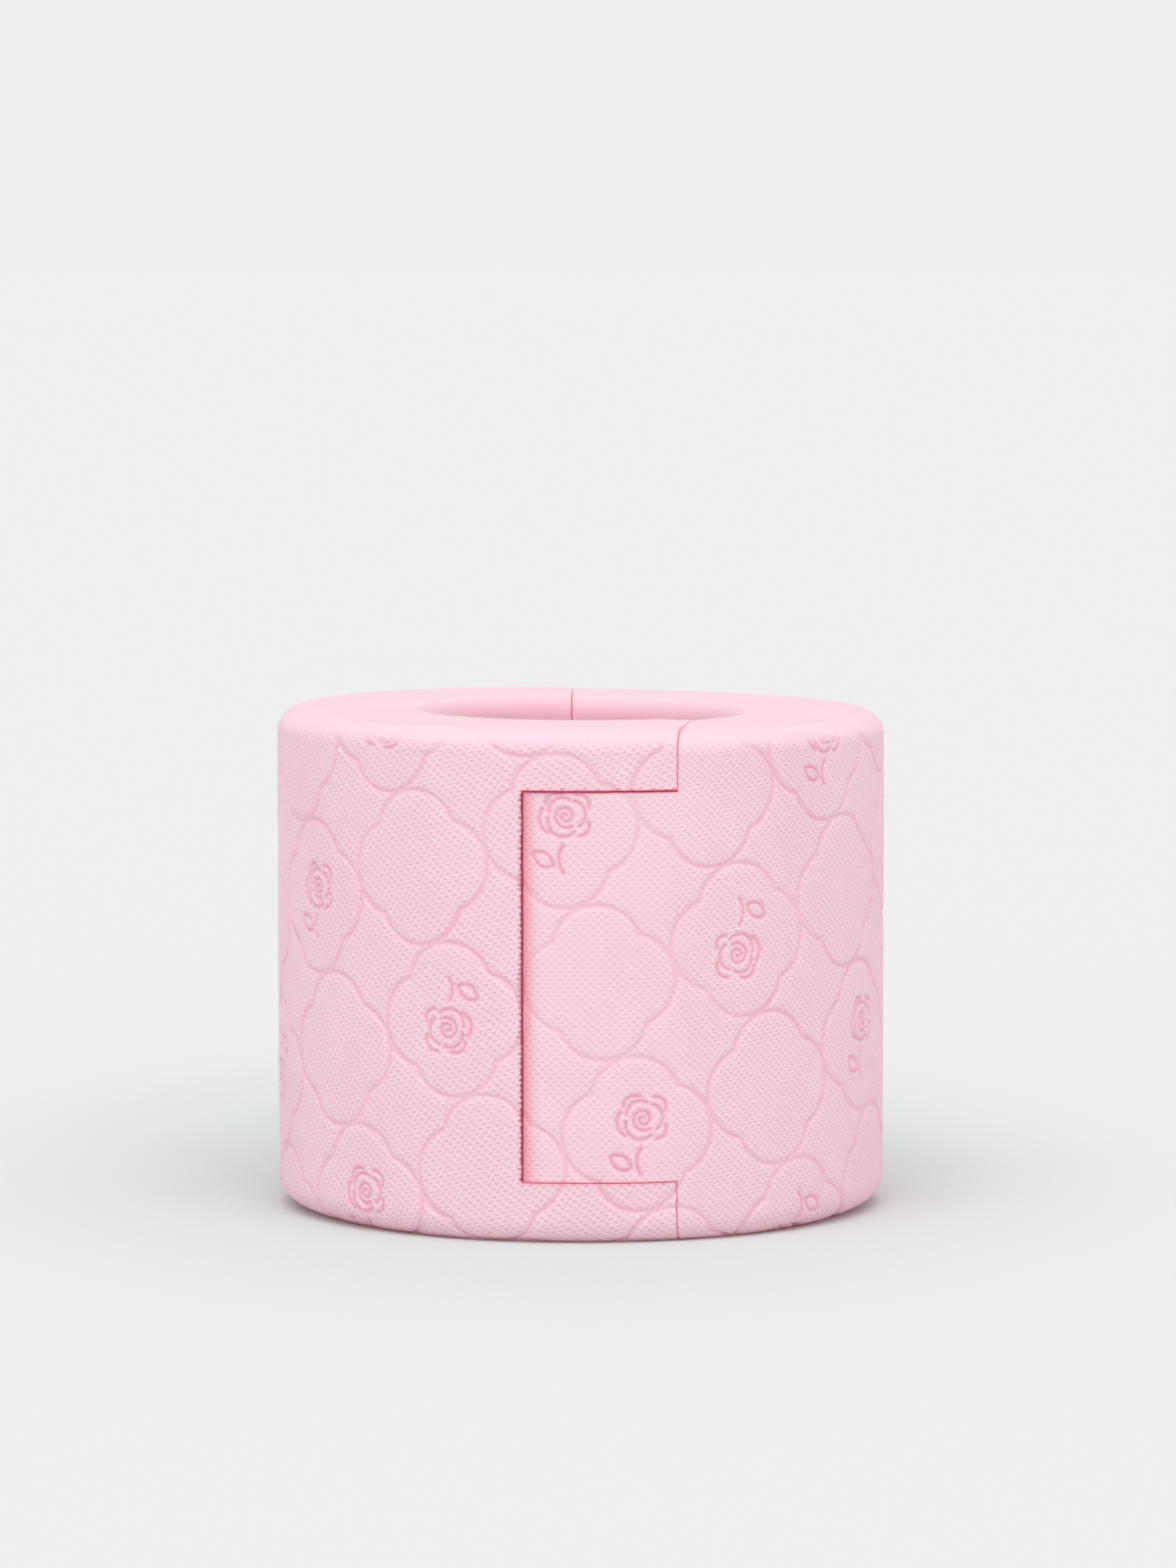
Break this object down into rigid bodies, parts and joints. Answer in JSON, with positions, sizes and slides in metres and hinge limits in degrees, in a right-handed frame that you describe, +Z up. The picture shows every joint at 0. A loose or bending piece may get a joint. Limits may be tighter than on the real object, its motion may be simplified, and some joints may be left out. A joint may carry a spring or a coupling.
{
  "type": "pull buoy",
  "caption": "Thick foam ring in two halves that open about a living hinge and close with a tab in a notch; embossed outer wall, smooth bore and rounded ends.",
  "frame": {"origin": "centre of the ring's base, on its axis", "axes": "+Z up along the ring's axis, -Y towards the closure at the front, +Y towards the hinge at the back"},
  "size_m": [0.17, 0.17, 0.139],
  "materials": {
    "moulded_foam": "smooth closed-cell foam, matte, pale pink",
    "embossed_foam": "closed-cell foam sheet, matte, with a fine dimpled grain and pressed lines, pale pink",
    "web_foam": "thin closed-cell foam, matte, pale pink"
  },
  "bodies": {
    "left_half": {"left_foam_half": "moulded_foam", "left_facing": "embossed_foam", "hinge_web": "web_foam"},
    "right_half": {"right_foam_half": "moulded_foam", "right_facing": "embossed_foam"}
  },
  "joints": [
    {"name": "web_hinge", "type": "hinge", "parent": "left_half", "child": "right_half", "pos_m": [0, 0.085, 0], "axis": [0, 0, 1], "range_deg": [0, 110], "stiffness_Nm_per_rad": 0.05, "deforming": ["hinge_web"]}
  ]
}
